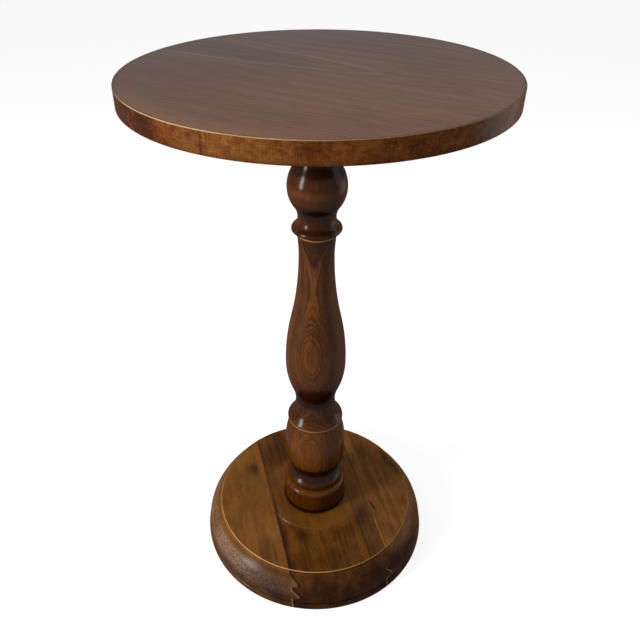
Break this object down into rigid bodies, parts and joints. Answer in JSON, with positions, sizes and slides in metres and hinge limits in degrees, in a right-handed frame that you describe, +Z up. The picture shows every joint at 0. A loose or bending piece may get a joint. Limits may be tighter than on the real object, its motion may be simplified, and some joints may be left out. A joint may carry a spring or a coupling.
{
  "type": "round side table",
  "caption": "Round side table: a thin veneered disc top on a turned baluster column that stands on a turned round base glued up from boards.",
  "frame": {"origin": "on the floor, at the middle of the base, on the column's axis", "axes": "+Z up along the column, -Y towards the front as pictured, +X to the right"},
  "size_m": [0.38, 0.38, 0.64],
  "materials": {
    "top_core_board": "raw board, hidden",
    "top_veneer": "semi-gloss lacquer on flame-figured veneer",
    "backing_veneer": "thin sealer",
    "edge_band": "satin lacquer on mottled golden veneer",
    "block_wood": "thin stain and sealer",
    "column_wood": "gloss lacquer over walnut stain",
    "base_light_wood": "satin lacquer",
    "base_streaked_wood": "satin lacquer",
    "base_dark_wood": "satin lacquer",
    "base_red_wood": "satin lacquer",
    "screw_steel": "zinc plated",
    "felt": "brown wool felt"
  },
  "bodies": {
    "root": {"top_core": "top_core_board", "top_face_veneer": "top_veneer", "top_backing_veneer": "backing_veneer", "top_edge_band": "edge_band", "mounting_block": "block_wood", "mounting_block_screws": "screw_steel", "column": "column_wood", "base_board_left": "base_light_wood", "base_board_centre": "base_streaked_wood", "base_board_strip": "base_dark_wood", "base_board_right": "base_red_wood", "column_lag_screw": "screw_steel", "lag_washer": "screw_steel", "base_felt_pads": "felt"}
  },
  "joints": []
}
